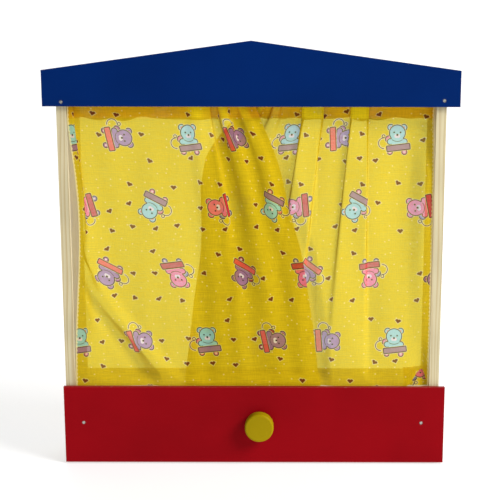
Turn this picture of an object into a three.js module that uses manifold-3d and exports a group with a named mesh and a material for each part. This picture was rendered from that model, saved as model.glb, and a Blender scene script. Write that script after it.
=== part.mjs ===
// Tabletop puppet theatre: a shallow pine case that is open at the back, with a painted gable board,
// two gathered curtains on dowels and a painted drawer under the stage floor.
//
// Millimetres, +Z up. The audience sits on the -Y side and sees +X on its right.
// The origin is the centre of the case's footprint, on the table.

import * as THREE from 'three';
import { mergeVertices } from 'three/addons/utils/BufferGeometryUtils.js';
import Module from 'manifold-3d';

const wasm = await Module();
wasm.setup();

// ---------------------------------------------------------------- driving dimensions

const fit = 0.3; // gap around a piece that is let into another one

const caseBox = { width: 390, depth: 66, height: 404, board: 10 };
const base = { thickness: 8 };
const floor = { top: 83.5, thickness: 10 };
const backPanel = { thickness: 3 };
const gable = { width: 416, thickness: 4, bottom: 373.5, shoulder: 409.2, apex: 438 };

const rod = { diameter: 6, socket: 5, height: 384 };
const frontRodY = -28;
const rearRodY = -19.5;

const drawer = {
  clearance: 2, // between the box and the case, on each side
  side: 12,
  back: 10,
  bottomGap: 0.5, // under the box
  top: 70,
  length: 60,
  plyBottom: 12,
  ply: 3,
  groove: 4,
};
const drawerFront = { width: 398, thickness: 4, bottom: 1.5, top: 84, shift: 2 };

const knob = { diameter: 30, depth: 11, rim: 2, backRound: 1, x: 7.3, z: 42.4, pilotDepth: 7.8 };
const screw = {
  headRadius: 3.6,
  headHeight: 2.2,
  shaftRadius: 1.5,
  length: 11,
  slot: 0.9,
  slotLength: 4.3,
  slotDepth: 1.2,
};

const longNail = { length: 28, shaftRadius: 0.8, headRadius: 1.5, headHeight: 0.8 };
const shortNail = { length: 12, shaftRadius: 0.6, headRadius: 1.1, headHeight: 0.6 };

const nailSetback = { front: 14, rear: 16 }; // from the front and the rear edge of a side board
// In from the case's outer face, and up from the gable's bottom edge.
const gableNails = { left: { inset: 6, rise: 4.4 }, right: { inset: 3, rise: 6.3 } };
const panelNailX = 120;
const drawerNailZ = { front: 45, upper: 56, lower: 28 };

const cloth = { thickness: 0.8, wave: 3, outerGap: 2, bottom: 84.1 };
const casing = { bottom: 378, top: 390, depth: 8 };

const nailFacets = 14;
const rodFacets = 28;
const knobFacets = 56;
const arcSteps = 8;
const stepsPerPleat = 12;
const edgeSteps = 16;
const rimSteps = 3;
const weld = 1e-4;

// ---------------------------------------------------------------- derived places

const halfWidth = caseBox.width / 2;
const innerHalf = halfWidth - caseBox.board;
const frontY = -caseBox.depth / 2;
const rearY = caseBox.depth / 2;
const panelFrontY = rearY - backPanel.thickness;
const topBoardZ = caseBox.height - caseBox.board;
const floorUnder = floor.top - floor.thickness;
const drawerHalf = innerHalf - drawer.clearance;
const drawerInnerHalf = drawerHalf - drawer.side;
const drawerUnder = base.thickness + drawer.bottomGap;
const drawerRearY = frontY + drawer.length;
const drawerBackFrontY = drawerRearY - drawer.back;
const plyTop = drawer.plyBottom + drawer.ply;
const hands = [['left', -1], ['right', 1]];

// ---------------------------------------------------------------- finishes

function finish(color, roughness, metalness = 0) {
  return new THREE.MeshStandardMaterial({ color, roughness, metalness });
}

const pine = finish(0xdcc48c, 0.62);
const plywood = finish(0xd2b27c, 0.7);
const dowelWood = finish(0xd8bd86, 0.6);
const bluePaint = finish(0x06306c, 0.45);
const redPaint = finish(0x96121a, 0.45);
const yellowPaint = finish(0xd2b41e, 0.35);
const cotton = finish(0xe0be20, 0.9);
const steel = finish(0xa8a8a4, 0.35, 1);

// ---------------------------------------------------------------- solid helpers

// A closed solid for cutting and joining, from any closed geometry.
function solidFrom(geometry) {
  const bare = geometry.clone();
  bare.deleteAttribute('normal');
  bare.deleteAttribute('uv');
  const merged = mergeVertices(bare, weld);
  const vertProperties = new Float32Array(merged.attributes.position.array);
  const triVerts = new Uint32Array(merged.index.array);
  return new wasm.Manifold(new wasm.Mesh({ numProp: 3, vertProperties, triVerts }));
}

function geometryFrom(solid) {
  const mesh = solid.getMesh();
  const indexed = new THREE.BufferGeometry();
  indexed.setAttribute('position', new THREE.BufferAttribute(mesh.vertProperties, 3));
  indexed.setIndex(new THREE.BufferAttribute(mesh.triVerts, 1));
  const faceted = indexed.toNonIndexed();
  faceted.computeVertexNormals();
  return faceted;
}

// The cutter's geometry as it stands, seen from the piece's own axes.
function placedFor(piece, cutter) {
  piece.updateMatrix();
  cutter.updateMatrix();
  const toPiece = piece.matrix.clone().invert().multiply(cutter.matrix);
  return cutter.geometry.clone().applyMatrix4(toPiece);
}

function cut(piece, cutters) {
  let solid = solidFrom(piece.geometry);
  for (const cutter of cutters) solid = solid.subtract(solidFrom(placedFor(piece, cutter)));
  piece.geometry = geometryFrom(solid);
  return piece;
}

function named(name, geometry, material) {
  const mesh = new THREE.Mesh(geometry, material);
  mesh.name = name;
  return mesh;
}

// A square-edged board between two opposite corners.
function board(name, low, high, material) {
  const from = new THREE.Vector3(...low);
  const to = new THREE.Vector3(...high);
  const size = to.clone().sub(from);
  const mesh = named(name, new THREE.BoxGeometry(size.x, size.y, size.z), material);
  mesh.position.addVectors(from, to).multiplyScalar(0.5);
  return mesh;
}

// A round bar along X, between two ends.
function roundBar(name, radius, x0, x1, y, z, material) {
  const geometry = new THREE.CylinderGeometry(radius, radius, x1 - x0, rodFacets);
  geometry.rotateZ(Math.PI / 2);
  const mesh = named(name, geometry, material);
  mesh.position.set((x0 + x1) / 2, y, z);
  return mesh;
}

// ---------------------------------------------------------------- nails

// Turned about Y with the head's flat top at 0 and the point downwards. `grow` widens it into its own hole.
function nailGeometry(size, grow = 0) {
  const shaft = size.shaftRadius + grow;
  const head = size.headRadius + grow;
  const shoulder = -size.headHeight - grow;
  const point = -size.length - grow;
  const profile = [
    new THREE.Vector2(0, point),
    new THREE.Vector2(shaft, point + 2 * shaft),
    new THREE.Vector2(shaft, shoulder),
    new THREE.Vector2(head, shoulder),
    new THREE.Vector2(head, grow),
    new THREE.Vector2(0, grow),
  ];
  return new THREE.LatheGeometry(profile, nailFacets);
}

// A nail with its head at `head`, driven along `direction` through the boards listed in `through`.
function nail(name, size, head, direction, through) {
  const into = new THREE.Vector3(...direction);
  const mesh = named(name, geometryFrom(solidFrom(nailGeometry(size))), steel);
  mesh.position.set(...head);
  mesh.quaternion.setFromUnitVectors(new THREE.Vector3(0, -1, 0), into);
  const hole = new THREE.Mesh(nailGeometry(size, fit));
  hole.position.copy(mesh.position);
  hole.quaternion.copy(mesh.quaternion);
  return { mesh, hole, through };
}

function frameNails() {
  const nails = [];
  const levels = [
    { label: 'top', z: topBoardZ + caseBox.board / 2, piece: 'top_board' },
    { label: 'floor', z: floorUnder + floor.thickness / 2, piece: 'stage_floor' },
    { label: 'base', z: base.thickness / 2, piece: 'base_board' },
  ];
  const rows = [['front', frontY + nailSetback.front], ['rear', rearY - nailSetback.rear]];
  for (const [hand, sign] of hands) {
    const side = `${hand}_side_board`;
    for (const { label, z, piece } of levels) {
      for (const [row, y] of rows) {
        const head = [sign * halfWidth, y, z];
        nails.push(nail(`${hand}_${label}_${row}_nail`, longNail, head, [-sign, 0, 0], [side, piece]));
      }
    }
    const { inset, rise } = gableNails[hand];
    const gableHead = [sign * (halfWidth - inset), frontY - gable.thickness, gable.bottom + rise];
    nails.push(nail(`${hand}_gable_nail`, longNail, gableHead, [0, 1, 0], ['gable_board', side]));
  }
  return nails;
}

function backPanelNails() {
  const nails = [];
  const rows = [
    { label: 'upper', z: floorUnder + floor.thickness / 2, piece: 'stage_floor' },
    { label: 'lower', z: base.thickness / 2, piece: 'base_board' },
  ];
  for (const [hand, sign] of hands) {
    for (const { label, z, piece } of rows) {
      const name = `${hand}_panel_${label}_nail`;
      const head = [sign * panelNailX, rearY, z];
      nails.push(nail(name, shortNail, head, [0, -1, 0], ['base_back_panel', piece]));
    }
  }
  return nails;
}

function drawerNails() {
  const nails = [];
  const frontFaceY = frontY - drawerFront.thickness;
  const backCentreY = drawerRearY - drawer.back / 2;
  for (const [hand, sign] of hands) {
    const side = `drawer_${hand}_side`;
    const frontHead = [sign * (drawerHalf - drawer.side / 2), frontFaceY, drawerNailZ.front];
    nails.push(nail(`drawer_${hand}_front_nail`, longNail, frontHead, [0, 1, 0], ['drawer_front', side]));
    for (const row of ['upper', 'lower']) {
      const head = [sign * drawerHalf, backCentreY, drawerNailZ[row]];
      nails.push(nail(`drawer_${hand}_${row}_nail`, longNail, head, [-sign, 0, 0], [side, 'drawer_back']));
    }
  }
  return nails;
}

// ---------------------------------------------------------------- the case

function gableBoard() {
  const half = gable.width / 2;
  const outline = new THREE.Shape();
  outline.moveTo(-half, gable.bottom);
  outline.lineTo(half, gable.bottom);
  outline.lineTo(half, gable.shoulder);
  outline.lineTo(0, gable.apex);
  outline.lineTo(-half, gable.shoulder);
  outline.closePath();
  const geometry = new THREE.ExtrudeGeometry(outline, { depth: gable.thickness, bevelEnabled: false });
  geometry.rotateX(Math.PI / 2);
  const mesh = named('gable_board', geometry, bluePaint);
  mesh.position.y = frontY;
  return mesh;
}

function caseBoards() {
  const { board: thick, height } = caseBox;
  return [
    board('left_side_board', [-halfWidth, frontY, 0], [-innerHalf, rearY, height], pine),
    board('right_side_board', [innerHalf, frontY, 0], [halfWidth, rearY, height], pine),
    board('top_board', [-innerHalf, frontY, height - thick], [innerHalf, rearY, height], pine),
    board('stage_floor', [-innerHalf, frontY, floorUnder], [innerHalf, panelFrontY, floor.top], pine),
    board('base_board', [-innerHalf, frontY, 0], [innerHalf, panelFrontY, base.thickness], pine),
    board('base_back_panel', [-innerHalf, panelFrontY, 0], [innerHalf, rearY, floor.top], plywood),
    gableBoard(),
  ];
}

// ---------------------------------------------------------------- curtain rods and curtains

function curtainRod(name, y) {
  const end = innerHalf + rod.socket - fit;
  return roundBar(name, rod.diameter / 2, -end, end, y, rod.height, dowelWood);
}

function rodSockets(y) {
  const end = innerHalf + rod.socket;
  return roundBar('socket', rod.diameter / 2 + fit, -end, end, y, rod.height);
}

// A pleated sheet that hangs from a casing round its rod. Its bottom stands `lean` nearer to the audience
// than the rod. The outline, seen from the front, has a straight outer edge and a curved leading edge.
function curtain(name, { rodY, lean, outerX, topX, bottomX, bowX, pleats }) {
  const { thickness, wave, bottom } = cloth;
  const drop = casing.bottom - bottom;
  const lowX = Math.min(outerX, topX, bottomX, bowX);
  const highX = Math.max(outerX, topX, bottomX, bowX);

  const section = new THREE.Shape();
  const steps = pleats * stepsPerPleat;
  const waveAt = (i) => wave * Math.sin((2 * Math.PI * pleats * i) / steps);
  const xAt = (i) => lowX + ((highX - lowX) * i) / steps;
  section.moveTo(xAt(0), waveAt(0) - thickness / 2);
  for (let i = 1; i <= steps; i += 1) section.lineTo(xAt(i), waveAt(i) - thickness / 2);
  for (let i = steps; i >= 0; i -= 1) section.lineTo(xAt(i), waveAt(i) + thickness / 2);
  const sheet = new THREE.ExtrudeGeometry(section, { depth: drop + 1, bevelEnabled: false });
  const leaning = new THREE.Matrix4().makeShear(0, 0, 0, 0, 0, lean / drop);
  sheet.applyMatrix4(leaning);
  sheet.translate(0, rodY - lean, bottom);

  const outline = new THREE.Shape();
  outline.moveTo(outerX, bottom);
  outline.lineTo(outerX, casing.top);
  outline.lineTo(topX, casing.top);
  outline.lineTo(topX, casing.bottom);
  outline.quadraticCurveTo(bowX, (casing.bottom + bottom) / 2, bottomX, bottom);
  outline.closePath();
  const through = { depth: caseBox.depth, curveSegments: edgeSteps, bevelEnabled: false };
  const window = new THREE.ExtrudeGeometry(outline, through);
  window.rotateX(Math.PI / 2);
  window.translate(0, rearY, 0);

  const left = Math.min(outerX, topX);
  const right = Math.max(outerX, topX);
  const reach = casing.depth / 2;
  const tube = board('casing', [left, rodY - reach, casing.bottom], [right, rodY + reach, casing.top]);
  cut(tube, [roundBar('bore', rod.diameter / 2 + fit, left - 1, right + 1, rodY, rod.height)]);
  tube.updateMatrix();
  tube.geometry.applyMatrix4(tube.matrix);

  const hanging = solidFrom(sheet).intersect(solidFrom(window));
  return named(name, geometryFrom(hanging.add(solidFrom(tube.geometry))), cotton);
}

function curtains() {
  const outer = innerHalf - cloth.outerGap;
  return [
    curtain('left_curtain', {
      rodY: frontRodY, lean: 1, outerX: -outer, topX: 3, bottomX: 66, bowX: 52, pleats: 9,
    }),
    curtain('right_curtain', {
      rodY: rearRodY, lean: 2, outerX: outer, topX: -55, bottomX: -70, bowX: -42, pleats: 10,
    }),
  ];
}

// ---------------------------------------------------------------- the drawer

function drawerSide(hand, sign) {
  const outer = sign * drawerHalf;
  const inner = sign * drawerInnerHalf;
  const low = [Math.min(outer, inner), frontY, drawerUnder];
  const high = [Math.max(outer, inner), drawerRearY, drawer.top];
  const side = board(`drawer_${hand}_side`, low, high, pine);
  const grooveEnd = sign * (drawerInnerHalf + drawer.groove + fit);
  const grooveLow = [Math.min(grooveEnd, inner - sign), frontY - 1, drawer.plyBottom - fit];
  const grooveHigh = [Math.max(grooveEnd, inner - sign), drawerRearY + 1, plyTop + fit];
  return cut(side, [board('groove', grooveLow, grooveHigh)]);
}

function drawerBoards() {
  const frontHalf = drawerFront.width / 2;
  const plyHalf = drawerInnerHalf + drawer.groove;
  return [
    board(
      'drawer_front',
      [drawerFront.shift - frontHalf, frontY - drawerFront.thickness, drawerFront.bottom],
      [drawerFront.shift + frontHalf, frontY, drawerFront.top],
      redPaint,
    ),
    drawerSide('left', -1),
    drawerSide('right', 1),
    board(
      'drawer_back',
      [-drawerInnerHalf, drawerBackFrontY, plyTop + fit],
      [drawerInnerHalf, drawerRearY, drawer.top],
      pine,
    ),
    board('drawer_bottom', [-plyHalf, frontY, drawer.plyBottom], [plyHalf, drawerRearY, plyTop], plywood),
  ];
}

// A flat round knob with a soft rim, turned about its own axis, with a blind pilot hole in its back.
function drawerKnob() {
  const radius = knob.diameter / 2;
  const pilot = screw.shaftRadius + fit;
  const profile = [
    new THREE.Vector2(0, knob.pilotDepth),
    new THREE.Vector2(pilot, knob.pilotDepth),
    new THREE.Vector2(pilot, 0),
  ];
  const { backRound, rim } = knob;
  const backRim = new THREE.Path().absarc(radius - backRound, backRound, backRound, -Math.PI / 2, 0, false);
  const frontRim = new THREE.Path().absarc(radius - rim, knob.depth - rim, rim, 0, Math.PI / 2, false);
  profile.push(...backRim.getPoints(rimSteps));
  profile.push(...frontRim.getPoints(arcSteps));
  profile.push(new THREE.Vector2(0, knob.depth));
  const turned = new THREE.LatheGeometry(profile, knobFacets);
  const mesh = named('drawer_knob', geometryFrom(solidFrom(turned)), yellowPaint);
  mesh.rotation.x = Math.PI;
  mesh.position.set(knob.x, frontY - drawerFront.thickness, knob.z);
  return mesh;
}

// A round-headed screw from inside the drawer into the knob, with a cross slot.
function knobScrew() {
  const { headRadius, headHeight, shaftRadius, length, slot, slotLength, slotDepth } = screw;
  const dome = new THREE.Path().absellipse(0, 0, headRadius, headHeight, -Math.PI / 2, 0, false, 0);
  const profile = dome.getPoints(arcSteps);
  profile.push(new THREE.Vector2(shaftRadius, 0));
  profile.push(new THREE.Vector2(shaftRadius, length - 2 * shaftRadius));
  profile.push(new THREE.Vector2(0, length));
  const turned = new THREE.LatheGeometry(profile, rodFacets);
  const mesh = named('knob_screw', turned, steel);
  const bars = [[slotLength, slot], [slot, slotLength]].map(([x, z]) => {
    const bar = new THREE.Mesh(new THREE.BoxGeometry(x, 2 * slotDepth, z));
    bar.position.y = -headHeight;
    return bar;
  });
  cut(mesh, bars);
  mesh.rotation.x = Math.PI;
  mesh.position.set(knob.x, frontY, knob.z);
  return mesh;
}

function screwHole() {
  const radius = screw.shaftRadius + fit;
  const length = 3 * drawerFront.thickness; // through the board and out on both sides
  const hole = new THREE.Mesh(new THREE.CylinderGeometry(radius, radius, length, rodFacets));
  hole.position.set(knob.x, frontY - drawerFront.thickness / 2, knob.z);
  return hole;
}

// ---------------------------------------------------------------- assembly

const boards = [...caseBoards(), ...drawerBoards()];
const nails = [...frameNails(), ...backPanelNails(), ...drawerNails()];

for (const piece of boards) {
  const holes = nails.filter((one) => one.through.includes(piece.name)).map((one) => one.hole);
  if (piece.name.endsWith('side_board')) holes.push(rodSockets(frontRodY), rodSockets(rearRodY));
  if (piece.name === 'drawer_front') holes.push(screwHole());
  if (holes.length > 0) cut(piece, holes);
}

const theatre = new THREE.Group();
theatre.add(...boards);
theatre.add(curtainRod('front_curtain_rod', frontRodY), curtainRod('rear_curtain_rod', rearRodY));
theatre.add(...curtains());
theatre.add(drawerKnob(), knobScrew());
theatre.add(...nails.map((one) => one.mesh));

export default theatre;
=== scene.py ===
"""Looks for the tabletop puppet theatre: bevelled and painted wood, printed cotton curtains, studio stage.

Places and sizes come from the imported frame, in metres. Sizes written as numbers are in millimetres times MM.
"""

import math

import bpy
import numpy as np
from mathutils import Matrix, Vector


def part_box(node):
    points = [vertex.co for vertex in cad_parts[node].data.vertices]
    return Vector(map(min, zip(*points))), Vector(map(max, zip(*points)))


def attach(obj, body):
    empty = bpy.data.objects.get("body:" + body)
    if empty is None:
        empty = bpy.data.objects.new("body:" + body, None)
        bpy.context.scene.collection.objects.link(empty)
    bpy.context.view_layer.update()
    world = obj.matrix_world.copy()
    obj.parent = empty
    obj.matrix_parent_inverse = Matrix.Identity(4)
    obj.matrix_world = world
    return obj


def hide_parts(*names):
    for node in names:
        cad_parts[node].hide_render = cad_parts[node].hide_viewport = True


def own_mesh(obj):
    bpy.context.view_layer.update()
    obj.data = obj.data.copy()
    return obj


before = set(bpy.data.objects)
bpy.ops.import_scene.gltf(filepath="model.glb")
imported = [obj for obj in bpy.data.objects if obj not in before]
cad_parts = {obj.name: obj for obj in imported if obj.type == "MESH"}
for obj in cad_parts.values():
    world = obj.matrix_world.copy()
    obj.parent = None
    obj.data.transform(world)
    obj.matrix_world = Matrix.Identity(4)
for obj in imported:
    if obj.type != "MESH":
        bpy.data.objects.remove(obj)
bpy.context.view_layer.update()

MM = 0.001


# ------------------------------------------------------------------ node helpers


def feed(tree, socket, value):
    """Links value into the socket, or sets it as the socket's own value."""
    if isinstance(value, Num):
        value = value.socket
    if isinstance(value, bpy.types.NodeSocket):
        tree.links.new(value, socket)
    else:
        socket.default_value = value


def add_node(tree, kind, inputs=None, **settings):
    """A node with its settings and inputs filled in. Inputs are named or numbered."""
    node = tree.nodes.new(kind)
    for key, value in settings.items():
        setattr(node, key, value)
    for key, value in (inputs or {}).items():
        feed(tree, node.inputs[key], value)
    return node


class Num:
    """A number inside a node tree. Arithmetic on it adds Math nodes."""

    def __init__(self, tree, socket):
        self.tree = tree
        self.socket = socket

    def math(self, operation, *others, clamp=False):
        values = dict(enumerate((self, *others)))
        node = add_node(self.tree, "ShaderNodeMath", values, operation=operation, use_clamp=clamp)
        return Num(self.tree, node.outputs[0])

    def __add__(self, other):
        return self.math("ADD", other)

    def __sub__(self, other):
        return self.math("SUBTRACT", other)

    def __mul__(self, other):
        return self.math("MULTIPLY", other)

    def __truediv__(self, other):
        return self.math("DIVIDE", other)

    def flipped(self):
        """One minus the number."""
        return self.math("MULTIPLY_ADD", -1.0, 1.0)

    def least(self, other):
        return self.math("MINIMUM", other)

    def most(self, other):
        return self.math("MAXIMUM", other)

    def size(self):
        return self.math("ABSOLUTE")

    def floor(self):
        return self.math("FLOOR")

    def part(self):
        """The fraction left above the whole number."""
        return self.math("FRACT")

    def inside(self, soft):
        """1 where this distance is below zero and 0 above, with an edge as wide as soft."""
        return self.math("MULTIPLY_ADD", -1.0 / soft, 0.5, clamp=True)

    def ramp(self, low, high, to_low=0.0, to_high=1.0):
        """A smooth step from to_low, where the number is low, to to_high, where it is high."""
        inputs = {"Value": self, "From Min": low, "From Max": high, "To Min": to_low, "To Max": to_high}
        node = add_node(self.tree, "ShaderNodeMapRange", inputs, interpolation_type="SMOOTHSTEP")
        return Num(self.tree, node.outputs[0])


def vector_math(tree, operation, *inputs):
    """A vector worked out from one or two others."""
    return add_node(tree, "ShaderNodeVectorMath", dict(enumerate(inputs)), operation=operation).outputs[0]


def vector_number(tree, operation, *inputs):
    """A number worked out from one or two vectors, such as a length."""
    node = add_node(tree, "ShaderNodeVectorMath", dict(enumerate(inputs)), operation=operation)
    return Num(tree, node.outputs["Value"])


def rotated(tree, place, angle):
    """The place turned about the origin in its own plane."""
    inputs = {"Vector": place, "Angle": angle}
    return add_node(tree, "ShaderNodeVectorRotate", inputs, rotation_type="Z_AXIS").outputs[0]


def mix_colours(tree, share, under, over):
    """The colour under, covered by the colour over where share is 1."""
    node = add_node(tree, "ShaderNodeMixRGB", {"Fac": share, "Color1": under, "Color2": over})
    return node.outputs[0]


def scaled_colour(tree, colour, share):
    """The colour made lighter or darker by a number."""
    grey = add_node(tree, "ShaderNodeCombineColor", {0: share, 1: share, 2: share}).outputs[0]
    inputs = {"Fac": 1.0, "Color1": colour, "Color2": grey}
    return add_node(tree, "ShaderNodeMixRGB", inputs, blend_type="MULTIPLY").outputs[0]


def picked_colour(tree, share, colours):
    """One of several colours, by the number share from 0 to 1."""
    node = add_node(tree, "ShaderNodeValToRGB", {0: share})
    ramp = node.color_ramp
    ramp.interpolation = "CONSTANT"
    while len(ramp.elements) < len(colours):
        ramp.elements.new(1.0)
    for index, colour in enumerate(colours):
        ramp.elements[index].position = index / len(colours)
        ramp.elements[index].color = colour
    return node.outputs[0]


def rgb(red, green, blue):
    """A linear colour from 0 to 255 display values."""
    channels = []
    for value in (red, green, blue):
        share = value / 255
        channels.append(share / 12.92 if share <= 0.04045 else ((share + 0.055) / 1.055) ** 2.4)
    return (*channels, 1.0)


def new_material(name):
    """An empty node material and its tree."""
    material = bpy.data.materials.new(name)
    material.use_nodes = True
    tree = material.node_tree
    tree.nodes.clear()
    return material, tree


def finish_material(tree, shader):
    add_node(tree, "ShaderNodeOutputMaterial", {"Surface": shader})


def place_in_mm(tree, stretch=(1.0, 1.0, 1.0), shift=(0.0, 0.0, 0.0)):
    """The place on the object in millimetres, moved by shift and then stretched."""
    place = add_node(tree, "ShaderNodeTexCoord").outputs["Object"]
    moved = vector_math(tree, "SUBTRACT", place, [s * MM for s in shift])
    return vector_math(tree, "MULTIPLY", moved, [s / MM for s in stretch])


def noise(tree, vector, scale, detail=3.0, roughness=0.55):
    inputs = {"Vector": vector, "Scale": scale, "Detail": detail, "Roughness": roughness}
    return Num(tree, add_node(tree, "ShaderNodeTexNoise", inputs).outputs[0])


def bump(tree, height, depth, strength=1.0):
    """A normal for a height from 0 to 1 that stands depth millimetres high."""
    inputs = {"Height": height, "Distance": depth * MM, "Strength": strength}
    return add_node(tree, "ShaderNodeBump", inputs).outputs[0]


# ------------------------------------------------------------------ wood and metal

ALONG = {"X": 0, "Y": 1, "Z": 2}


def grain_parts(tree, grain, heart, ring, seed):
    """Growth rings and fibres of a board whose grain runs along an axis, each from 0 to 1.

    heart is where the middle of the tree was, and ring is the width of a year's growth, in millimetres.
    """
    axis = ALONG[grain]
    stretch = [1.0, 1.0, 1.0]
    stretch[axis] = 0.06
    wander = noise(tree, place_in_mm(tree, stretch, (seed, -seed, 2 * seed)), 0.035, 2.0)
    streak = [1.0, 1.0, 1.0]
    streak[axis] = 0.02
    fibre = noise(tree, place_in_mm(tree, streak, (seed, seed, seed)), 1.6, 4.0, 0.7)
    across = [1.0, 1.0, 1.0]
    across[axis] = 0.0
    out = place_in_mm(tree, across, heart)
    radius = vector_number(tree, "LENGTH", out)
    year = ((radius + wander * 26.0) / ring).part()
    late = year.ramp(0.35, 0.92) * year.ramp(0.93, 1.0, 1.0, 0.0)
    return late, fibre, wander


def wood(name, grain, pale, dark, heart, ring=3.4, seed=11.0, contrast=0.75):
    """Bare sanded wood."""
    material, tree = new_material(name)
    late, fibre, wander = grain_parts(tree, grain, heart, ring, seed)
    share = late * contrast * wander.ramp(0.3, 0.7, 0.5, 1.0) + fibre.ramp(0.5, 0.85) * 0.35
    colour = mix_colours(tree, share.least(1.0), pale, dark)
    patch = noise(tree, place_in_mm(tree, shift=(seed, 0.0, 0.0)), 0.02, 1.0)
    colour = scaled_colour(tree, colour, patch.ramp(0.25, 0.75, 0.93, 1.05))
    height = late * 0.5 + fibre * 0.5
    inputs = {
        "Base Color": colour,
        "Roughness": fibre.ramp(0.2, 0.8, 0.52, 0.7),
        "Normal": bump(tree, height, 0.12, 0.5),
        "Specular IOR Level": 0.35,
    }
    finish_material(tree, add_node(tree, "ShaderNodeBsdfPrincipled", inputs).outputs[0])
    return material


def painted(name, colour, grain, heart, roughness=0.5, wear=1.0):
    """Even satin paint over wood: roller texture, faint grain below and thin paint along the edges."""
    material, tree = new_material(name)
    late, fibre, _ = grain_parts(tree, grain, heart, 4.5, 23.0)
    place = place_in_mm(tree)
    roller = noise(tree, place, 0.9, 3.0)
    cloud = noise(tree, place, 0.012, 2.0)
    shade = cloud.ramp(0.3, 0.7, 0.93, 1.06) * fibre.ramp(0.3, 0.8, 1.02, 0.96)
    coat = scaled_colour(tree, colour, shade)
    rounded = add_node(tree, "ShaderNodeBevel", {"Radius": 1.1 * MM}, samples=4).outputs[0]
    flat = add_node(tree, "ShaderNodeNewGeometry").outputs["True Normal"]
    edge = vector_number(tree, "DOT_PRODUCT", rounded, flat).ramp(0.985, 0.8)
    scuff = noise(tree, place, 0.35, 4.0, 0.7)
    thin = edge * scuff.ramp(0.56, 0.68) * wear
    coat = mix_colours(tree, edge * 0.12, coat, PRIMER)
    coat = mix_colours(tree, thin * 0.7, coat, PRIMER)
    inputs = {
        "Base Color": coat,
        "Roughness": roller.ramp(0.3, 0.7, roughness - 0.05, roughness + 0.07),
        "Normal": bump(tree, roller * 0.6 + fibre * 0.3 + late * 0.1, 0.06, 0.45),
        "Specular IOR Level": 0.03,
    }
    finish_material(tree, add_node(tree, "ShaderNodeBsdfPrincipled", inputs).outputs[0])
    return material


def steel(name):
    """Bright wire steel with fine turning marks and a little dullness."""
    material, tree = new_material(name)
    place = place_in_mm(tree)
    marks = noise(tree, place, 6.0, 2.0)
    dull = noise(tree, place, 0.6, 3.0)
    colour = mix_colours(tree, dull.ramp(0.35, 0.7), rgb(214, 214, 210), rgb(150, 146, 138))
    inputs = {
        "Base Color": colour,
        "Metallic": 1.0,
        "Roughness": dull.ramp(0.3, 0.7, 0.28, 0.5),
        "Normal": bump(tree, marks, 0.02, 0.4),
    }
    finish_material(tree, add_node(tree, "ShaderNodeBsdfPrincipled", inputs).outputs[0])
    return material


# ------------------------------------------------------------------ CAD pieces

PINE_PALE = rgb(212, 200, 162)
PINE_DARK = rgb(184, 158, 109)
PLY_PALE = rgb(214, 190, 142)
PLY_DARK = rgb(176, 144, 92)
BLUE = rgb(1, 36, 98)
RED = rgb(144, 6, 17)
YELLOW = rgb(158, 136, 8)
PRIMER = rgb(200, 190, 170)


def cad_materials():
    """One material for each CAD node. Each board has rings of its own."""
    steel_finish = steel("wire_steel")
    finishes = {}
    for name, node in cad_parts.items():
        if name.endswith("nail") or name.endswith("screw"):
            finishes[name] = steel_finish
    pine_boards = {
        "left_side_board": ("Z", (-240, 30, 0), 3.1),
        "right_side_board": ("Z", (262, -20, 0), 3.6),
        "top_board": ("X", (0, 60, 330), 3.8),
        "stage_floor": ("X", (0, -90, 40), 3.3),
        "base_board": ("X", (0, 70, -40), 4.2),
        "drawer_left_side": ("Y", (-230, 0, 90), 3.4),
        "drawer_right_side": ("Y", (240, 0, 100), 3.0),
        "drawer_back": ("X", (0, 80, 80), 3.6),
    }
    for seed, (name, (grain, heart, ring)) in enumerate(pine_boards.items()):
        finishes[name] = wood("pine_" + name, grain, PINE_PALE, PINE_DARK, heart, ring, 17.0 * seed + 5.0)
    for name, heart in (("base_back_panel", (0, 240, 40)), ("drawer_bottom", (0, 20, 200))):
        finishes[name] = wood("plywood_" + name, "X", PLY_PALE, PLY_DARK, heart, 9.0, 40.0, 0.4)
    dowel = wood("beech_dowel", "X", rgb(222, 196, 150), rgb(186, 150, 104), (0, -10, 400), 1.6, 3.0, 0.4)
    finishes["front_curtain_rod"] = dowel
    finishes["rear_curtain_rod"] = dowel
    finishes["gable_board"] = painted("blue_paint", BLUE, "X", (0, 20, 300))
    finishes["drawer_front"] = painted("red_paint", RED, "X", (0, 20, -60), 0.4)
    finishes["drawer_knob"] = painted("yellow_paint", YELLOW, "Y", (7, 0, 42), 0.3, 0.5)
    return finishes


# How far the edges are rounded, by the end of the piece's name. Bare boards get BOARD_EDGE.
EDGE_WIDTHS = {"nail": 0.12, "screw": 0.2, "rod": 0.3, "knob": 0.3, "gable_board": 0.8, "drawer_front": 0.8}
BOARD_EDGE = 0.6


def dress_cad_nodes():
    """Rounds the edges of every CAD piece that shows and gives it its own finish."""
    finishes = cad_materials()
    for name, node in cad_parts.items():
        if name not in finishes:
            continue
        width = next((w for key, w in EDGE_WIDTHS.items() if name.endswith(key)), BOARD_EDGE)
        weld = node.modifiers.new("weld", "WELD")
        weld.merge_threshold = 0.01 * MM
        flat = node.modifiers.new("flat_faces", "DECIMATE")
        flat.decimate_type = "DISSOLVE"
        flat.angle_limit = math.radians(1.0)
        bevel = node.modifiers.new("edges", "BEVEL")
        bevel.width = width * MM
        bevel.segments = 3
        bevel.limit_method = "ANGLE"
        bevel.angle_limit = math.radians(40)
        node.data.shade_smooth()
        even = node.modifiers.new("even_shading", "WEIGHTED_NORMAL")
        even.weight = 100
        node.data.materials.clear()
        node.data.materials.append(finishes[name])


dress_cad_nodes()


# ------------------------------------------------------------------ curtains

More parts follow.
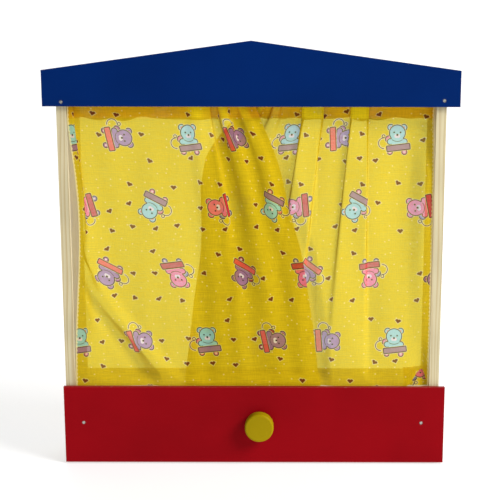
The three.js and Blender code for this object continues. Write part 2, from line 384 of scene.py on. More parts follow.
REST_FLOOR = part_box("stage_floor")[1].z / MM
CASE_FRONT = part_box("left_side_board")[0].y / MM
INNER_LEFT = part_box("left_side_board")[1].x / MM
INNER_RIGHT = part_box("right_side_board")[0].x / MM
ROD_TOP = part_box("front_curtain_rod")[1].z / MM
ROD_RADIUS = 3.0
CASING_DROP = 23.0
FLOOR_GAP = 0.4
FRONT_GAP = 0.35
BELOW_STITCHES = 14.0
PRESSED_AT_TOE = 0.85
RAGGED_EDGE = 7.0
ROD_Z = ROD_TOP - ROD_RADIUS
STITCH_Z = ROD_Z - CASING_DROP
BOTTOM_Z = REST_FLOOR + FLOOR_GAP
DROP = STITCH_Z - BOTTOM_Z


def rod_y(name):
    """The place of a rod's middle, front to back."""
    low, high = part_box(name)
    return (low.y + high.y) / 2 / MM


# The casing from its stitch line at the back, up and over the rod, and down to the stitch line in front:
# distance behind the rod's middle, height above the rod's middle, share of the folds.
CASING_PATH = np.array([
    (0.5, -CASING_DROP, 1.0), (1.6, -20.0, 0.8), (2.8, -16.0, 0.45), (3.6, -11.0, 0.15), (3.9, -5.0, 0.0),
    (3.7, 0.0, 0.0), (2.7, 2.7, 0.0), (0.0, 3.8, 0.05), (-2.7, 2.7, 0.15), (-3.7, 0.0, 0.25),
    (-3.9, -4.0, 0.35), (-3.4, -9.0, 0.5), (-2.4, -14.0, 0.7), (-1.2, -19.0, 0.88), (0.0, -CASING_DROP, 1.0),
])


def eased(share):
    """A smooth step from 0 to 1."""
    share = np.clip(share, 0.0, 1.0)
    return share * share * (3.0 - 2.0 * share)


def hump(value, middle, width):
    """A rounded bump, 1 at its middle."""
    return np.exp(-(((value - middle) / width) ** 2))


def turn_angles(u, d, turns):
    """How far the sheet turns away from its own plane, in radians, at u across and d below the stitches.

    A turn is (start across, width, angle at the top, angle at the bottom, power of the change, drift).
    A positive angle comes forward, towards the audience, and a negative one goes back.
    """
    total = np.zeros(np.broadcast(u, d).shape)
    down = np.clip(d / DROP, 0.0, 1.0)
    for start, width, top, bottom, power, drift in turns:
        angle = top + (bottom - top) * down**power
        t = np.clip((u - start - drift * down) / width, 0.0, 1.0)
        total += angle * np.sin(math.pi * t) ** 0.8
    return total


def closing_angles(kept, gathered, span, du):
    """The kept turns plus as much of the gathered ones as brings every row to its own span.

    The share of the gathered turns is found for each row by halving the range that holds it.
    """
    most = 2.2
    halvings = 30

    def run(strength):
        return (np.cos(kept + strength * gathered).sum(axis=1, keepdims=True)) * du

    low = np.zeros_like(span)
    high = np.full_like(span, most)
    for _ in range(halvings):
        middle = (low + high) / 2
        wide = run(middle) > span
        low = np.where(wide, middle, low)
        high = np.where(wide, high, middle)
    return kept + low * gathered


def ripples(u, d, seed, amount):
    """Small uneven waves that run mostly down the cloth, in millimetres."""
    waves = 14
    rng = np.random.default_rng(seed)
    total = np.zeros(np.broadcast(u, d).shape)
    for _ in range(waves):
        across = rng.uniform(0.05, 0.28)
        down = rng.uniform(-0.035, 0.035)
        phase = rng.uniform(0.0, 2.0 * math.pi)
        total += np.sin(u * across + d * down + phase) * 0.06 / across
    return total * amount


def along_casing():
    """The length of cloth that goes round the rod."""
    return float(np.hypot(*np.diff(CASING_PATH[:, :2], axis=0).T).sum())


def sheet_rows(step):
    """Rows of the cloth from the back stitch line to the bottom: distance behind, height, fold share, d."""
    lengths = np.hypot(*np.diff(CASING_PATH[:, :2], axis=0).T)
    along = np.concatenate([[0.0], np.cumsum(lengths)])
    count = int(along[-1] / step)
    places = np.linspace(0.0, along[-1], count, endpoint=False)
    casing = [np.interp(places, along, CASING_PATH[:, k]) for k in range(3)]
    hang = np.linspace(0.0, DROP, int(DROP / step) + 1)
    behind = np.concatenate([casing[0], np.zeros_like(hang)])
    height = np.concatenate([casing[1] + ROD_Z, STITCH_Z - hang])
    share = np.concatenate([casing[2], np.ones_like(hang)])
    cloth_down = np.concatenate([places - along[-1], hang])
    return behind, height, share, cloth_down


def held_behind(y, limit, softness=0.8):
    """Keeps the cloth behind a plane, with a soft bend instead of a corner."""
    gap = y - limit
    return limit + (gap + np.sqrt(gap * gap + softness * softness)) / 2


def build_panel(name, rod, inward, width, shape, uv_shift, step=1.0):
    """A curtain as one sheet that keeps its width: its turns pull the leading edge back to where it hangs.

    inward is +1 or -1 along X. shape holds outer(d), the place of the outer edge, leading, the leading
    edge's (height, place) points, kept and gathered turns, depth (the share of their depth that the cloth
    has room for, at places across), plain (from, to: the flat zone that hangs base(x, d) in front of the
    rod), and extra(x, d), a further bulge. The layer "fold" keeps how far the cloth stands proud and how
    much it is squeezed across.
    """
    behind, height, share, down = sheet_rows(2.0 * step)
    u = np.linspace(0.0, width, int(width / step) + 1)
    du = u[1] - u[0]
    d = down[:, None]
    middles = (u[None, 1:] + u[None, :-1]) / 2
    kept = turn_angles(middles, d, shape["kept"])
    gathered = turn_angles(middles, d, shape["gathered"])
    span = (at_height(height[:, None], shape["leading"]) - shape["outer"](d)) * inward
    angle = closing_angles(kept, gathered, span, du)
    start = np.zeros((len(down), 1))
    run = np.concatenate([start, np.cumsum(np.cos(angle), axis=1) * du], axis=1)
    depth = np.interp(middles, *zip(*shape["depth"]))
    bulge = np.concatenate([start, np.cumsum(np.sin(angle) * depth, axis=1) * du], axis=1)
    flat_zone = (u >= shape["plain"][0]) & (u <= shape["plain"][1])
    bulge = bulge - bulge[:, flat_zone].mean(axis=1, keepdims=True)
    x = shape["outer"](d) + inward * run
    forward = bulge * share[:, None] * (1.0 - PRESSED_AT_TOE * at_toe(d))
    hanging = eased(d / BELOW_STITCHES)
    forward = forward + (shape["base"](x, d) + shape["extra"](x, d)) * hanging
    y = held_behind(rod + behind[:, None] - forward, CASE_FRONT + FRONT_GAP)
    near_end = eased(1.0 - (d + along_casing()) / RAGGED_EDGE)
    ragged = ripples(u[None, :], np.zeros((1, 1)), 21, 1.0) * near_end
    z = height[:, None] + ragged
    across = uv_shift + inward * u[None, :]
    full_bulge = 2.6
    outer_strip = 50.0
    # How far the cloth stands proud; the cotton paints a highlight on the casing by it.
    proud = np.clip(bulge / full_bulge, 0.0, 1.0) * eased((u - outer_strip) / 10.0)
    nearest = np.round(np.interp(u, middles[0], np.arange(middles.size))).astype(int)
    squeezed = 1.0 - np.cos(angle)[:, nearest]
    layers = {"cloth": (across, -d), "edge": (u[None, :], -d), "fold": (proud, squeezed)}
    return sheet_piece(name, (x, y, z), layers, inward)


def sheet_piece(name, places, layers, inward):
    """A sheet through a grid of places in millimetres, with a UV map for each layer of two coordinates."""
    shape = places[0].shape
    points = np.stack(places, axis=-1)
    rows, columns = shape
    number = np.arange(rows * columns).reshape(rows, columns)
    a, b, c, e = number[:-1, :-1], number[:-1, 1:], number[1:, 1:], number[1:, :-1]
    order = (a, e, c, b) if inward > 0 else (a, b, c, e)
    faces = np.stack([part.ravel() for part in order], axis=-1)
    mesh = bpy.data.meshes.new(name)
    mesh.from_pydata((points.reshape(-1, 3) * MM).tolist(), [], faces.tolist())
    corners = faces.ravel()
    for layer, coordinates in layers.items():
        uv = mesh.uv_layers.new(name=layer)
        pairs = [np.broadcast_to(values, shape).ravel()[corners] for values in coordinates]
        uv.data.foreach_set("uv", np.stack(pairs, axis=-1).ravel())
    mesh.shade_smooth()
    piece = bpy.data.objects.new(name, mesh)
    bpy.context.scene.collection.objects.link(piece)
    return piece


def at_height(z, places):
    """A smoothed edge along a few (height, place) points."""
    heights, values = zip(*sorted(places))
    fine = np.linspace(heights[0], heights[-1], 60)
    rough = np.interp(fine, heights, values)
    kernel = np.ones(9) / 9
    padded = np.concatenate([np.full(4, rough[0]), rough, np.full(4, rough[-1])])
    return np.interp(z, fine, np.convolve(padded, kernel, "valid"))


def left_outer(d):
    """The left curtain's outer edge hangs off the board in the middle of its drop."""
    share = np.clip(d / DROP, 0.0, 1.0)
    return INNER_LEFT + 0.6 + 8.0 * np.sin(math.pi * share**0.72) ** 2


def right_outer(d):
    """The right curtain's outer edge hangs straight, close to the board."""
    return INNER_RIGHT - 0.5 + 0.0 * d


# The leading edges, from the rod to the floor: height, place across.
LEFT_EDGE = [
    (384, 1), (367, 5), (340, 19), (301, 32), (263, 38.5), (242, 47), (214, 53), (142, 64), (84, 70),
]
RIGHT_EDGE = [
    (384, 0), (361, -18), (328, -47), (310, -53), (230, -52), (203, -56), (182, -60), (138, -65), (84, -72),
]
TOE = 14.0


def at_toe(d):
    """1 along the bottom, where the last of the cloth leans forward against the drawer front."""
    return eased(1.0 - (DROP - d) / TOE)


def left_base(x, d):
    """How far the left curtain hangs in front of its rod."""
    share = np.clip(d / DROP, 0.0, 1.0)
    beside_board = eased((-150.0 - x) / 24.0) * share
    return 0.3 + 1.5 * share + 2.2 * beside_board + 3.6 * at_toe(d)


def right_base(x, d):
    """How far the right curtain hangs in front of its rod: further where the left one does not cover it."""
    share = np.clip(d / DROP, 0.0, 1.0)
    covered_to = at_height(STITCH_Z - d, LEFT_EDGE)
    open_side = eased((x - covered_to - 2.0) / 14.0)
    beside_board = eased((x - 160.0) / 20.0)
    behind_left = (1.0 - open_side) * 5.5 * at_toe(d)
    hang = 5.0 * share**0.7 + open_side * (6.6 * share**0.6 + 2.0 * at_toe(d)) + behind_left
    return hang + (3.6 + 9.0 * eased(d / 60.0) - hang) * beside_board


def drag_fold(x, d):
    """The long crease that runs down beside the left board and then slants to where the bottom is pulled."""
    bend_at = 165.0
    slant_drop = 111.0
    half_slant = 41.0
    past = (d - bend_at) / slant_drop
    bend = np.sqrt(past * past + 0.02)
    place = -175.0 + half_slant * (past + bend)
    slope = half_slant / slant_drop * (1.0 + past / bend)
    across = (x - place) / np.sqrt(1.0 + slope * slope)
    ridge = hump(across, 3.0, 8.0) * 3.0
    hollow = hump(across, -8.0, 8.0) * 3.4 * (1.0 - 0.6 * at_toe(d))
    return (ridge - hollow) * eased((d - 40.0) / 100.0)


def left_extra(x, d):
    """The left curtain's crease, two shallow waves and small ripples."""
    wave = 1.0 * hump(x, -66.0, 16.0) * eased(1.2 - d / 160.0) - 0.8 * hump(x, -120.0, 24.0)
    return drag_fold(x, d) + wave + ripples(x, d, 3, 0.35) * eased(d / 40.0)


def right_extra(x, d):
    """The right curtain's ripples, fainter where the left curtain covers it."""
    covered_to = 66.0
    return ripples(x, d, 8, 0.5) * eased(d / 40.0) * np.where(x > covered_to, 1.0, 0.4)


LEFT_SHAPE = {
    "outer": left_outer,
    "leading": LEFT_EDGE,
    "kept": [
        (0.0, 38.0, -1.75, 0.0, 3.0, 0.0),
        (-112.0, 14.0, 0.0, 0.95, 1.0, 204.0),
        (-98.0, 22.0, 0.0, -0.6, 1.0, 204.0),
    ],
    "gathered": [
        (142.0, 14.0, 0.9, 0.0, 1.6, 4.0),
        (158.0, 12.0, -0.6, 0.0, 1.6, 4.0),
        (170.0, 18.0, -2.0, 0.0, 2.0, 8.0),
        (188.0, 22.0, 1.7, 0.0, 2.0, 10.0),
        (211.0, 16.0, -1.4, 0.0, 1.6, 6.0),
        (228.0, 14.0, 1.5, 0.0, 1.6, 4.0),
        (244.0, 14.0, -1.2, 0.0, 1.6, 0.0),
    ],
    "depth": [(0.0, 0.17), (38.0, 0.17), (60.0, 0.42), (140.0, 0.42), (150.0, 0.3), (260.0, 0.3)],
    "plain": (60.0, 130.0),
    "base": left_base,
    "extra": left_extra,
}
RIGHT_SHAPE = {
    "outer": right_outer,
    "leading": RIGHT_EDGE,
    "kept": [
        (67.0, 9.0, 2.2, 0.4, 0.9, -6.0),
        (92.5, 9.0, -2.2, -0.4, 0.9, 12.0),
        (130.0, 9.0, 2.2, 0.2, 0.9, 4.0),
        (158.5, 13.0, -2.2, -0.1, 0.9, 0.0),
    ],
    "gathered": [
        (176.0, 14.0, -0.8, -0.3, 1.4, 0.0),
        (192.0, 14.0, 1.3, 0.4, 1.4, 0.0),
        (208.0, 14.0, -1.5, -0.4, 1.4, 0.0),
        (224.0, 14.0, 1.5, 0.4, 1.4, 0.0),
        (240.0, 14.0, -1.0, -0.3, 1.4, 0.0),
    ],
    "depth": [(0.0, 0.55), (150.0, 0.55), (180.0, 0.3), (260.0, 0.3)],
    "plain": (10.0, 50.0),
    "base": right_base,
    "extra": right_extra,
}


def lift_corner(piece):
    """Raises the bottom edge beside the right board into a small tent."""
    tent_left, left_run = 161.0, 16.5
    tent_right, right_run = 185.0, 7.5
    tent_height = 17.5
    forward_share = 0.16
    mesh = piece.data
    places = np.empty(len(mesh.vertices) * 3)
    mesh.vertices.foreach_get("co", places)
    places = places.reshape(-1, 3)
    x, z = places[:, 0] / MM, places[:, 2] / MM
    left_leg = (x - tent_left) / left_run
    right_leg = (tent_right - x) / right_run
    lift = tent_height * eased(np.minimum(left_leg, right_leg)) * eased((BOTTOM_Z + 62.0 - z) / 60.0)
    places[:, 2] += lift * MM
    places[:, 1] += forward_share * lift * MM
    mesh.vertices.foreach_set("co", places.ravel())
    mesh.update()


def corner_tuck(name):
    """The turned-under corner of the cloth behind the tent."""
    width, height = 25.0, 21.0
    across = np.linspace(0.0, 1.0, 14)[None, :]
    up = np.linspace(1.0, 0.0, 14)[:, None]
    x = INNER_RIGHT - 1.5 - width * across + 0.0 * up
    hollow = 1.6 * np.sin(math.pi * across)
    wrinkle = 0.5 * np.sin(9.0 * across + 4.0 * up)
    y = CASE_FRONT + 4.6 + 3.2 * up - hollow + wrinkle
    z = BOTTOM_Z + 0.2 + (height - 3.0 * across) * up
    down = 190.0 - z
    flat_fold = (0.0 * across, 0.0 * up)
    layers = {"cloth": (300.0 + width * across, -down), "edge": (20.0 + across, -down), "fold": flat_fold}
    return sheet_piece(name, (x, y, z), layers, -1.0)


LEFT_ROD = rod_y("front_curtain_rod")
RIGHT_ROD = rod_y("rear_curtain_rod")
LEFT_WIDTH = 261.0
RIGHT_WIDTH = 262.0
RIGHT_PRINT_SHIFT = 325.0
left_cloth = build_panel("left_curtain_cloth", LEFT_ROD, 1.0, LEFT_WIDTH, LEFT_SHAPE, 0.0)
right_cloth = build_panel("right_curtain_cloth", RIGHT_ROD, -1.0, RIGHT_WIDTH, RIGHT_SHAPE, RIGHT_PRINT_SHIFT)
lift_corner(right_cloth)
tucked_cloth = corner_tuck("right_curtain_tuck")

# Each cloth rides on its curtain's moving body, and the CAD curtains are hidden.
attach(left_cloth, "curtain_left")
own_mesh(left_cloth)
for cloth in (right_cloth, tucked_cloth):
    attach(cloth, "curtain_right")
    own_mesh(cloth)
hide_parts("left_curtain")
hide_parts("right_curtain")


# ------------------------------------------------------------------ printed cotton

GROUND = rgb(210, 176, 6)
# The hem colour is the doubled casing's deeper orange with painted shade from the gable above; the next colour
# is a painted highlight where the casing stands proud into the light.
HEM_DYE_AND_PAINTED_SHADE = rgb(224, 165, 8)
PAINTED_HEM_HIGHLIGHT = rgb(248, 214, 14)
GAP_TINT = rgb(255, 255, 125)
DARK_LINE = rgb(62, 34, 28)
HEART = rgb(108, 36, 4)
PALE = rgb(240, 216, 124)
SELVEDGE = rgb(250, 232, 170)
INK_TINT = rgb(215, 225, 255)
PALE_INK = 0.2
THIN = 0.5
DENSE = 1.0
CONTOUR = 0.8
HALO = 0.7


class Print:
    """Flat shapes laid one over the other on the cloth, in millimetres.

    ink is 0 on bare cloth, THIN where a colour lets the most light through and DENSE where it is dark.
    """

    def __init__(self, tree, ground):
        self.tree = tree
        self.colour = ground
        self.ink = Num(tree, add_node(tree, "ShaderNodeValue").outputs[0])
        self.ink.socket.default_value = 0.0

    def distance(self, place, x, y):
        """How far the place is from a point."""
        return vector_number(self.tree, "DISTANCE", place, (x, y, 0.0))

    def disc(self, place, x, y, radius):
        """A disc's distance, below zero inside it."""
        return self.distance(place, x, y) - radius

    def block(self, place, x, y, half_x, half_y, corner):
        """A rounded rectangle's distance. Inside, it stops at minus the corner radius."""
        tree = self.tree
        inner = (half_x - corner, half_y - corner, 0.0)
        moved = vector_math(tree, "SUBTRACT", place, (x, y, 0.0))
        over = vector_math(tree, "SUBTRACT", vector_math(tree, "ABSOLUTE", moved), inner)
        out = vector_math(tree, "MAXIMUM", over, (0.0, 0.0, 0.0))
        return vector_number(tree, "LENGTH", out) - corner

    def lay(self, share, colour, ink=THIN):
        """Covers the cloth with a colour where share is 1."""
        self.colour = mix_colours(self.tree, share, self.colour, colour)
        self.ink = self.ink + (self.ink * -1.0 + ink) * share

    def shape(self, distance, fill, ink=THIN):
        """A filled shape with a dark contour and a pale rim outside it."""
        self.lay((distance - HALO).inside(0.5), PALE)
        self.lay((distance - CONTOUR * 0.5).inside(0.35), DARK_LINE, DENSE)
        self.lay((distance + CONTOUR * 0.5).inside(0.35), fill, ink)


def split(tree, vector):
    """A vector's first two numbers."""
    node = add_node(tree, "ShaderNodeSeparateXYZ", {0: vector})
    return Num(tree, node.outputs[0]), Num(tree, node.outputs[1])


def joined(tree, x, y):
    """A vector of two numbers."""
    return add_node(tree, "ShaderNodeCombineXYZ", {0: x, 1: y}).outputs[0]


def picked_number(tree, share, values, scale):
    """One of several numbers, by the number share from 0 to 1."""
    greys = [(v / scale, v / scale, v / scale, 1.0) for v in values]
    node = add_node(tree, "ShaderNodeSeparateColor", {0: picked_colour(tree, share, greys)})
    return Num(tree, node.outputs[0]) * scale


# The print repeats in cells, with a teddy in each. The rows are shifted across by three amounts in turn.
CELL = (71.0, 70.0)
FIRST_CELL = (39.5, -54.0)
ROW_OFFSETS = [0.0, 0.38, 0.655]
MOTIF_SIZE = 1.15
CART_INK = 0.72

# The colours of a teddy, its cart and its wheels.
MAUVE = (rgb(156, 102, 112), rgb(226, 74, 46), rgb(160, 38, 34))
MINT = (rgb(150, 200, 168), rgb(152, 102, 112), rgb(216, 104, 78))
CORAL = (rgb(234, 98, 94), rgb(186, 24, 38), rgb(128, 112, 122))
MUZZLE = rgb(228, 206, 182)
NOSE = rgb(56, 38, 36)
EYE = rgb(48, 34, 32)
HUB = rgb(235, 190, 150)

# The six kinds of motif, two to a row: colours and turn in degrees.
KINDS = [(MAUVE, 90.0), (MINT, 0.0), (MAUVE, 220.0), (CORAL, 180.0), (CORAL, 265.0), (MINT, 215.0)]
TEDDY, CART, WHEEL = zip(*[colours for colours, _ in KINDS])
TURN = [turn for _, turn in KINDS]


def cell_rows(tree, up):
    """The height in rows of cells, the row's number among the pattern's three, and its shift in columns."""
    height = (up - FIRST_CELL[1]) / CELL[1]
    row = height.floor()
    third = ((row / 3.0).part() * 3.0 + 0.5).floor()
    offset = picked_number(tree, (third + 0.5) / 3.0, ROW_OFFSETS, 1.0)
    return height, third, offset


def teddy_cells(tree, flat):
    """The place within each cell's motif, turned by its kind, and the kind's number from 0 to 1."""
    across, up = split(tree, flat)
    height, third, offset = cell_rows(tree, up)
    shifted = (across - FIRST_CELL[0]) / CELL[0] + offset
    column = shifted.floor()
    size = (CELL[0] / MOTIF_SIZE, CELL[1] / MOTIF_SIZE)
    local = joined(tree, (shifted.part() - 0.5) * size[0], (height.part() - 0.5) * size[1])
    kind = third * 2.0 + ((column / 2.0).part() * 2.0 + 0.2).floor()
    share = (kind + 0.5) / len(KINDS)
    turn = picked_number(tree, share, TURN, 360.0) * math.radians(1.0)
    return rotated(tree, local, turn), share


def lay_string(tree, sheet, place):
    """The cart's curled string with a ring at its end."""
    half_width = 0.36
    curl = sheet.disc(place, -11.9, -4.6, 4.6).size() - half_width
    x, _ = split(tree, place)
    curl = curl.most(x + 11.4)
    ring = sheet.disc(place, -12.1, 1.5, 1.3).size() - half_width
    string = curl.least(ring)
    sheet.lay((string - 0.5).inside(0.5), PALE)
    sheet.lay(string.inside(0.4), DARK_LINE, DENSE)


def lay_teddy(tree, sheet, place, fur, trim):
    """A sitting teddy: scarf, ears, body with head and arms, then the face."""
    sheet.shape(sheet.disc(place, -7.6, -1.0, 2.9), trim)
    for side in (-1.0, 1.0):
        sheet.shape(sheet.disc(place, 5.8 * side, 9.2, 2.7), fur)
        sheet.lay(sheet.disc(place, 5.8 * side, 9.2, 1.1).inside(0.4), trim)
    body = sheet.disc(place, 0.0, -2.6, 5.9).least(sheet.disc(place, 0.0, 4.4, 7.0))
    for side in (-1.0, 1.0):
        body = body.least(sheet.disc(place, 6.2 * side, -3.2, 2.6))
    sheet.shape(body, fur)
    x, y = split(tree, place)
    chin = (sheet.disc(place, 0.0, 4.6, 7.6).size() - 0.25).inside(0.35)
    below_face = (y - 0.4).inside(0.6) * (x.size() - 4.6).inside(0.6)
    sheet.lay(chin * below_face, DARK_LINE, DENSE)
    muzzle = sheet.disc(place, 0.9, 1.7, 1.6).least(sheet.disc(place, -0.9, 1.7, 1.6))
    sheet.lay(muzzle.inside(0.4), MUZZLE)
    sheet.lay(sheet.disc(place, 0.0, 2.7, 0.95).inside(0.4), NOSE, DENSE)
    for side in (-1.0, 1.0):
        sheet.lay(sheet.disc(place, 2.8 * side, 4.9, 0.75).inside(0.4), EYE, DENSE)


def lay_cart(tree, sheet, place, board, wheel):
    """A flat cart on two wheels, a little out of level."""
    for side in (-1.0, 1.0):
        sheet.shape(sheet.disc(place, 6.4 * side, -12.2, 2.3), wheel)
        sheet.lay(sheet.disc(place, 6.4 * side, -12.2, 0.9).inside(0.4), HUB)
    tilted = rotated(tree, place, -0.12)
    sheet.shape(sheet.block(tilted, 0.0, -8.4, 10.4, 2.6, 0.8), board, CART_INK)


def lay_teddies(tree, sheet, flat):
    """A teddy on a little cart in the middle of each cell, turned and coloured by its row and column."""
    place, share = teddy_cells(tree, flat)
    fur = picked_colour(tree, share, TEDDY)
    board = picked_colour(tree, share, CART)
    wheel = picked_colour(tree, share, WHEEL)
    lay_string(tree, sheet, place)
    lay_teddy(tree, sheet, place, fur, wheel)
    lay_cart(tree, sheet, place, board, wheel)


HEART_SHARE = 0.59


def lay_hearts(tree, sheet, flat):
    """Small dark hearts strewn between the teddies, each a little off upright."""
    pitch = (CELL[0] / 3.0, CELL[1] / 3.0)
    across, up = split(tree, flat)
    height, _, offset = cell_rows(tree, up)
    fine = height * 3.0
    row = fine.floor()
    shifted = (across - FIRST_CELL[0]) / pitch[0] + offset * 3.0
    column = shifted.floor()
    middle = ((column / 3.0).part() * 3.0 - 1.0).size().most(((row / 3.0).part() * 3.0 - 1.0).size())
    cell = joined(tree, column, row)
    lots = add_node(tree, "ShaderNodeTexWhiteNoise", {"Vector": cell}, noise_dimensions="2D")
    chance = Num(tree, lots.outputs["Value"])
    jitter = add_node(tree, "ShaderNodeSeparateColor", {0: lots.outputs["Color"]})
    jump_x = (Num(tree, jitter.outputs[0]) - 0.5) * 11.0
    jump_y = (Num(tree, jitter.outputs[1]) - 0.5) * 9.0
    local = joined(tree, (shifted.part() - 0.5) * pitch[0] + jump_x, (fine.part() - 0.5) * pitch[1] + jump_y)
    angle = (Num(tree, jitter.outputs[2]) - 0.5) * 1.2
    x, y = split(tree, rotated(tree, local, angle))
    side = x.size() * 0.85
    lobe = sheet.disc(joined(tree, side, y), 1.15, 0.7, 1.35)
    point = (side * 0.748 - (y + 2.6) * 0.665).most(y - 0.6)
    heart = lobe.least(point)
    present = (chance - HEART_SHARE).inside(0.01) * (middle - 0.5).math("GREATER_THAN", 0.0)
    sheet.lay((heart - 0.55).inside(0.5) * present * 0.6, PALE, PALE_INK)
    sheet.lay(heart.inside(0.5) * present, HEART, DENSE)


def lay_dots(tree, sheet, flat):
    """Fine pale dots."""
    scaled = vector_math(tree, "MULTIPLY", flat, (1 / 14.0, 1 / 13.0, 1.0))
    inputs = {"Vector": scaled, "Scale": 1.0, "Randomness": 0.85}
    dots = add_node(tree, "ShaderNodeTexVoronoi", inputs, voronoi_dimensions="2D")
    sheet.lay(Num(tree, dots.outputs["Distance"]).ramp(0.02, 0.085, 0.75, 0.0), PALE, PALE_INK)


THREAD_PITCH = 0.62


def thread_shade(tree, flat):
    """The uneven thickness of the threads, across and down, from 0 to 1."""
    slub = noise(tree, vector_math(tree, "MULTIPLY", flat, (0.045, 0.9, 0.0)), 1.0, 3.0, 0.6)
    warp = noise(tree, vector_math(tree, "MULTIPLY", flat, (1.1, 0.09, 0.0)), 1.0, 2.0, 0.6)
    return slub * 0.65 + warp * 0.35


def ground_dye_and_painted_light(tree, flat, thread, proud, squeezed, slant):
    """The yellow ground with painted light: a deeper orange in the doubled casing, partly painted shade from
    the gable, a painted highlight where the casing stands proud, painted shade in steep and squeezed folds,
    and darker thin threads.
    """
    casing = split(tree, flat)[1].ramp(-1.0, 3.0)
    # The casing takes the hem colour's painted shade, and a painted highlight where it stands proud.
    dye_and_painted_light = mix_colours(tree, casing, GROUND, mix_colours(tree, proud, HEM_DYE_AND_PAINTED_SHADE, PAINTED_HEM_HIGHLIGHT))
    # Painted shade: darker where the cloth turns edge-on and where it is squeezed into folds.
    dye_and_painted_light = scaled_colour(tree, dye_and_painted_light, slant.ramp(0.15, 0.8, 1.0, 0.72) * squeezed.ramp(0.1, 1.0, 1.0, 0.92))
    return scaled_colour(tree, dye_and_painted_light, thread.ramp(0.3, 0.7, 0.9, 1.06))


def lay_selvedge(tree, sheet):
    """A pale toothed line along the cloth's outer edge."""
    from_edge, height = split(tree, add_node(tree, "ShaderNodeUVMap", uv_map="edge").outputs[0])
    tooth = ((height / 4.2).part() - 0.5).size() * 1.6
    selvedge = (from_edge - 1.1 - tooth).inside(0.5)
    sheet.lay(selvedge * 0.75, SELVEDGE, 0.0)


def weave_normal(tree, flat, thread):
    """A plain weave's fine relief."""
    across, up = split(tree, flat)
    weave_x = (across * (2.0 * math.pi / THREAD_PITCH)).math("SINE")
    weave_y = (up * (2.0 * math.pi / THREAD_PITCH)).math("SINE")
    return bump(tree, weave_x * weave_y * 0.25 + thread, 0.14, 0.5)


def open_gaps(sheet, thread, slant, squeezed):
    """The share of light that passes between the threads: less in steep folds, more or less by the ink."""
    covered = sheet.ink.ramp(0.0, THIN, 1.0, 1.3) * sheet.ink.ramp(THIN, DENSE, 1.0, 0.35)
    share = thread.ramp(0.28, 0.72, 0.27, 0.13) * slant.ramp(0.1, 0.75, 1.0, 0.1) * covered
    return share * squeezed.ramp(0.1, 0.9, 1.0, 0.25)


def printed_cotton():
    """Thin plain-weave cotton: light comes through the threads and straight through the gaps between them."""
    material, tree = new_material("printed_cotton")
    flat = add_node(tree, "ShaderNodeUVMap", uv_map="cloth").outputs[0]
    thread = thread_shade(tree, flat)
    proud, squeezed = split(tree, add_node(tree, "ShaderNodeUVMap", uv_map="fold").outputs[0])
    slant = Num(tree, add_node(tree, "ShaderNodeLayerWeight", {"Blend": 0.5}).outputs["Facing"])

    sheet = Print(tree, ground_dye_and_painted_light(tree, flat, thread, proud, squeezed, slant))
    lay_dots(tree, sheet, flat)
    lay_hearts(tree, sheet, flat)
    lay_teddies(tree, sheet, flat)
    lay_selvedge(tree, sheet)

    normal = weave_normal(tree, flat, thread)
    inputs = {
        "Base Color": sheet.colour,
        "Roughness": thread.ramp(0.3, 0.7, 0.85, 0.95),
        "Normal": normal,
        "Specular IOR Level": 0.1,
        "Sheen Weight": 0.08,
    }
    front = add_node(tree, "ShaderNodeBsdfPrincipled", inputs).outputs[0]
    inputs = {"Color": sheet.colour, "Normal": normal}
    through = add_node(tree, "ShaderNodeBsdfTranslucent", inputs).outputs[0]
    threads = add_node(tree, "ShaderNodeMixShader", {0: 0.1, 1: front, 2: through}).outputs[0]
    thin_ink = (sheet.ink * 2.0 - 1.0).size().flipped()
    tint = mix_colours(tree, thin_ink, GAP_TINT, INK_TINT)
    gaps = add_node(tree, "ShaderNodeBsdfTransparent", {"Color": tint}).outputs[0]
    open_share = open_gaps(sheet, thread, slant, squeezed)
    surface = add_node(tree, "ShaderNodeMixShader", {0: open_share, 1: threads, 2: gaps}).outputs[0]
    finish_material(tree, surface)
    return material


cotton = printed_cotton()
for cloth in (left_cloth, right_cloth, tucked_cloth):
    cloth.data.materials.append(cotton)


# ------------------------------------------------------------------ stage, light and camera


def studio_paper():
    """Matt pale paper with a glow of its own, so that it stays white away from the lamps."""
    material, tree = new_material("studio_paper")
    speck = noise(tree, place_in_mm(tree), 0.05, 2.0)
    inputs = {
        "Base Color": scaled_colour(tree, (0.55, 0.55, 0.55, 1.0), speck.ramp(0.3, 0.7, 0.995, 1.0)),
        "Roughness": 0.9,
        "Emission Color": (1.0, 1.0, 1.0, 1.0),
        "Emission Strength": 0.54,
    }
    finish_material(tree, add_node(tree, "ShaderNodeBsdfPrincipled", inputs).outputs[0])
    return material


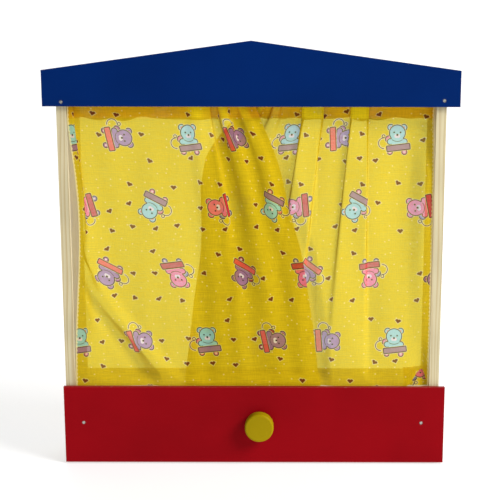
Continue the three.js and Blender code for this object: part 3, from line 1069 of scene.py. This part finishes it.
def studio_sweep(width=6.0, front=-3.0, back=2.2, height=3.0, bend=0.6):
    """A floor that curves up into a wall behind the object."""
    bend_steps = 12
    outline = [(front, 0.0)]
    for step in range(bend_steps + 1):
        angle = math.radians(90 * step / bend_steps)
        outline.append((back - bend + bend * math.sin(angle), bend - bend * math.cos(angle)))
    outline.append((back, height))
    points = [(side * width / 2, y, z) for y, z in outline for side in (-1, 1)]
    faces = [(2 * i, 2 * i + 1, 2 * i + 3, 2 * i + 2) for i in range(len(outline) - 1)]
    mesh = bpy.data.meshes.new("studio_sweep")
    mesh.from_pydata(points, [], faces)
    mesh.shade_smooth()
    sweep = bpy.data.objects.new("studio_sweep", mesh)
    bpy.context.scene.collection.objects.link(sweep)
    mesh.materials.append(studio_paper())


def softbox(name, place, target, size, power):
    """A square lamp that faces its target."""
    light = bpy.data.lights.new(name, "AREA")
    light.shape = "SQUARE"
    light.size = size
    light.energy = power
    lamp = bpy.data.objects.new(name, light)
    lamp.location = place
    lamp.rotation_euler = (Vector(target) - Vector(place)).to_track_quat("-Z", "Y").to_euler()
    bpy.context.scene.collection.objects.link(lamp)


def studio_light():
    """Soft light all round, a key lamp at the front right and a weak one that lights the paper behind."""
    world = bpy.data.worlds.new("studio")
    world.use_nodes = True
    world.node_tree.nodes["Background"].inputs["Color"].default_value = (1.0, 1.0, 1.0, 1.0)
    world.node_tree.nodes["Background"].inputs["Strength"].default_value = 0.3
    bpy.context.scene.world = world
    middle = (0.0, 0.0, 0.22)
    softbox("key", (2.3, -1.15, 1.9), middle, 1.3, 105.0)
    softbox("back_light", (0.0, 1.6, 1.5), (0.0, 0.6, 0.2), 1.6, 14.0)


def photo_camera():
    """Level with the gable and looking 10 degrees down, with the lens shifted sideways."""
    right_of_middle = 0.0328
    before_case = 1.0105
    above_gable_edge = 0.0317
    camera = bpy.data.cameras.new("camera")
    camera.lens = 72.25
    camera.sensor_width = 36.0
    camera.shift_x = -0.0686
    camera.clip_start = 0.05
    holder = bpy.data.objects.new("camera", camera)
    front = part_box("left_side_board")[0].y
    gable_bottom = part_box("gable_board")[0].z
    holder.location = (right_of_middle, front - before_case, gable_bottom + above_gable_edge)
    holder.rotation_euler = (math.radians(80.08), math.radians(-0.11), 0.0)
    bpy.context.scene.collection.objects.link(holder)
    bpy.context.scene.camera = holder


studio_sweep()
studio_light()
photo_camera()
bpy.context.scene.view_settings.view_transform = "Standard"
